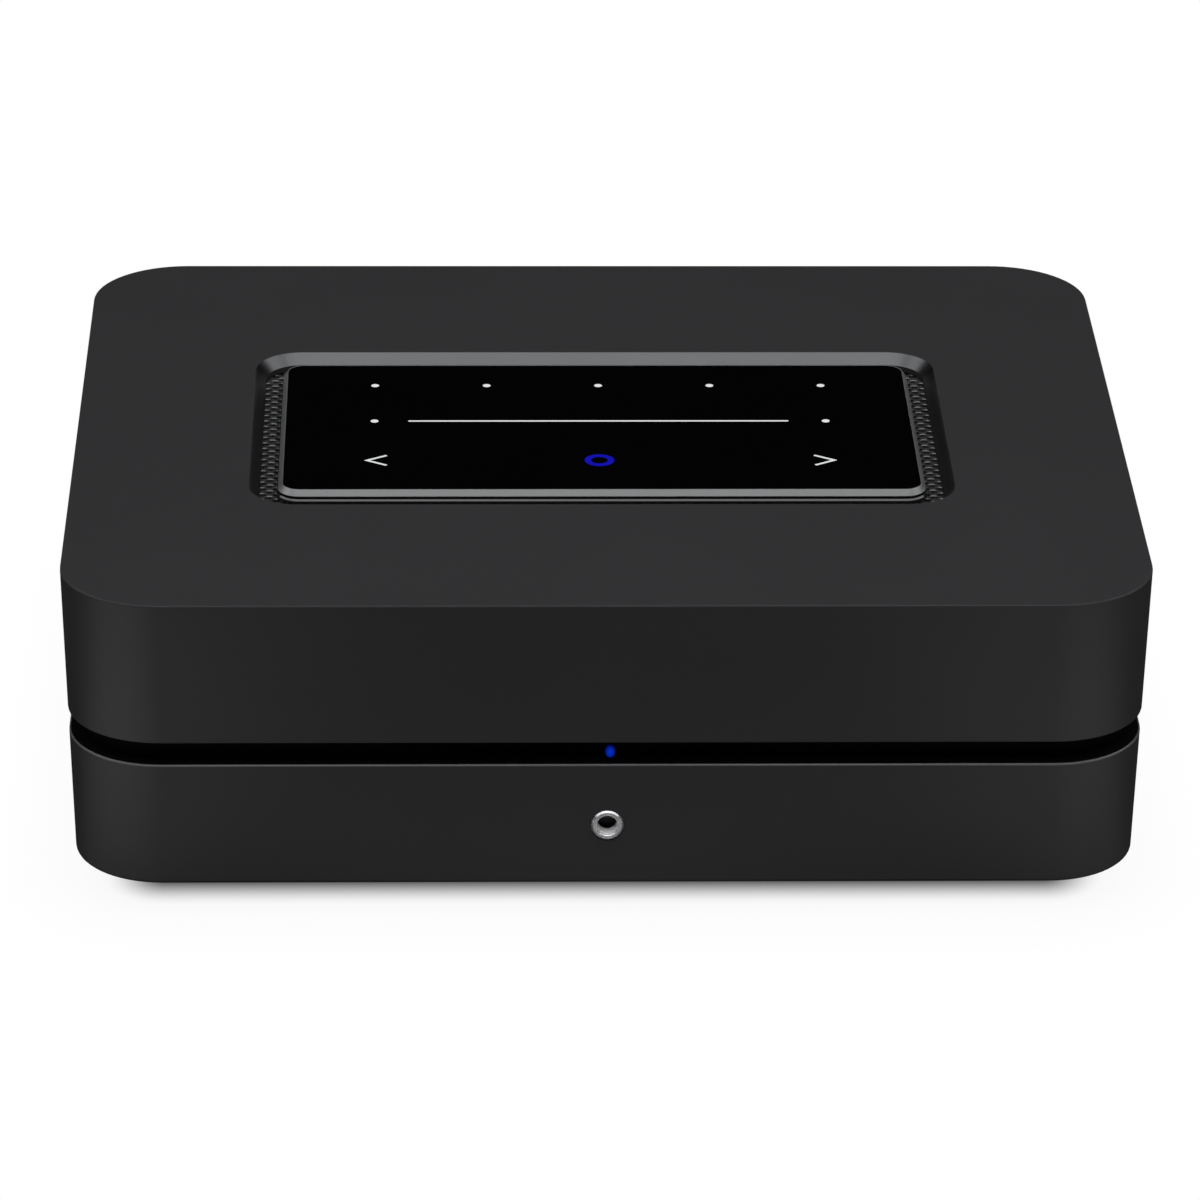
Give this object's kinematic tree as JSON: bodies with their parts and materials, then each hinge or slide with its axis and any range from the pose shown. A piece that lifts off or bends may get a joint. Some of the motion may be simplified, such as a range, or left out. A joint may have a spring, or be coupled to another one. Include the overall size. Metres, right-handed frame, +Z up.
{
  "type": "streaming amplifier",
  "caption": "Compact table-top streaming amplifier: two charcoal shells with a recessed black waist, a touch panel in a vented well, and sockets and screw posts at the back.",
  "frame": {"origin": "on the table, under the middle of the overall box", "axes": "+X to the right seen from the front, +Y to the back, +Z up"},
  "size_m": [0.22, 0.19, 0.07],
  "materials": {
    "case_plastic": "fine satin paint, charcoal black",
    "black_plastic": "matt moulded",
    "black_steel": "matt powder coat",
    "dark_aluminium": "satin anodised",
    "plain_aluminium": "extruded",
    "black_glass": "polished, printed black behind",
    "white_light": "lit white",
    "blue_light": "lit blue",
    "diffuser": "milky",
    "circuit_board": "solder mask",
    "zinc_steel": "zinc plated",
    "black_screws": "black oxide",
    "ribbon": "film over copper",
    "rubber": "matt",
    "nickel": "nickel plated",
    "gold_plate": "gold plated",
    "winding": "enamelled copper on a core",
    "capacitor_sleeve": "shrunk sleeve",
    "ferrite": "moulded",
    "tinplate": "tinned",
    "brass": "turned",
    "lead_sleeve": "soft sleeve",
    "red_cap": "moulded",
    "black_cap": "moulded"
  },
  "bodies": {
    "amplifier": {"upper_shell": "case_plastic", "lower_shell": "case_plastic", "waist_band": "black_plastic", "status_light_pipe": "blue_light", "vent_grille": "black_steel", "panel_carrier": "black_plastic", "panel_bezel": "dark_aluminium", "panel_glass": "black_glass", "touch_legends": "white_light", "play_ring_legend": "blue_light", "light_guide": "diffuser", "touch_board": "circuit_board", "panel_screws": "zinc_steel", "panel_ribbon": "ribbon", "base_plate": "black_steel", "base_screws": "black_screws", "rubber_feet": "rubber", "case_screws": "black_screws", "rear_panel": "black_steel", "rear_panel_screws": "zinc_steel", "headphone_jack": "black_plastic", "headphone_ring": "nickel", "front_board": "circuit_board", "mains_inlet": "black_plastic", "mains_pins": "nickel", "post_bases": "black_plastic", "post_studs": "gold_plate", "post_nuts": "nickel", "lan_socket": "nickel", "usb_socket": "nickel", "hdmi_socket": "nickel", "socket_tongues": "black_plastic", "combo_input_socket": "black_plastic", "subwoofer_socket": "gold_plate", "subwoofer_insulator": "black_plastic", "infrared_socket": "black_plastic", "power_board": "circuit_board", "power_transformer": "winding", "bulk_capacitors": "capacitor_sleeve", "filter_choke": "winding", "amp_board": "circuit_board", "amp_chips": "black_plastic", "amp_heatsink": "plain_aluminium", "output_inductors": "ferrite", "main_board": "circuit_board", "shield_can": "tinplate", "wireless_module": "tinplate", "antennas": "circuit_board", "board_spacers": "brass", "board_screws": "zinc_steel", "internal_leads": "lead_sleeve"},
    "washer_1": {"clamp_washer_1": "gold_plate"},
    "cap_1": {"speaker_cap_1": "red_cap"},
    "washer_2": {"clamp_washer_2": "gold_plate"},
    "cap_2": {"speaker_cap_2": "black_cap"},
    "washer_3": {"clamp_washer_3": "gold_plate"},
    "cap_3": {"speaker_cap_3": "red_cap"},
    "washer_4": {"clamp_washer_4": "gold_plate"},
    "cap_4": {"speaker_cap_4": "black_cap"}
  },
  "joints": [
    {"name": "washer_slide_1", "type": "slide", "parent": "amplifier", "child": "washer_1", "axis": [0, 1, 0], "range_m": [0, 0.0048]},
    {"name": "cap_turn_1", "type": "hinge", "parent": "washer_1", "child": "cap_1", "pos_m": [0.066, 0.09, 0.027], "axis": [0, 1, 0], "range_deg": [0, 2160]},
    {"name": "washer_slide_2", "type": "slide", "parent": "amplifier", "child": "washer_2", "axis": [0, 1, 0], "range_m": [0, 0.0048]},
    {"name": "cap_turn_2", "type": "hinge", "parent": "washer_2", "child": "cap_2", "pos_m": [0.047, 0.09, 0.027], "axis": [0, 1, 0], "range_deg": [0, 2160]},
    {"name": "washer_slide_3", "type": "slide", "parent": "amplifier", "child": "washer_3", "axis": [0, 1, 0], "range_m": [0, 0.0048]},
    {"name": "cap_turn_3", "type": "hinge", "parent": "washer_3", "child": "cap_3", "pos_m": [0.023, 0.09, 0.027], "axis": [0, 1, 0], "range_deg": [0, 2160]},
    {"name": "washer_slide_4", "type": "slide", "parent": "amplifier", "child": "washer_4", "axis": [0, 1, 0], "range_m": [0, 0.0048]},
    {"name": "cap_turn_4", "type": "hinge", "parent": "washer_4", "child": "cap_4", "pos_m": [0.004, 0.09, 0.027], "axis": [0, 1, 0], "range_deg": [0, 2160]}
  ],
  "couplings": [
    {"joint": "cap_turn_1", "follows": "washer_slide_1", "rad_per_m": 7853.9},
    {"joint": "cap_turn_2", "follows": "washer_slide_2", "rad_per_m": 7853.9},
    {"joint": "cap_turn_3", "follows": "washer_slide_3", "rad_per_m": 7853.9},
    {"joint": "cap_turn_4", "follows": "washer_slide_4", "rad_per_m": 7853.9}
  ]
}
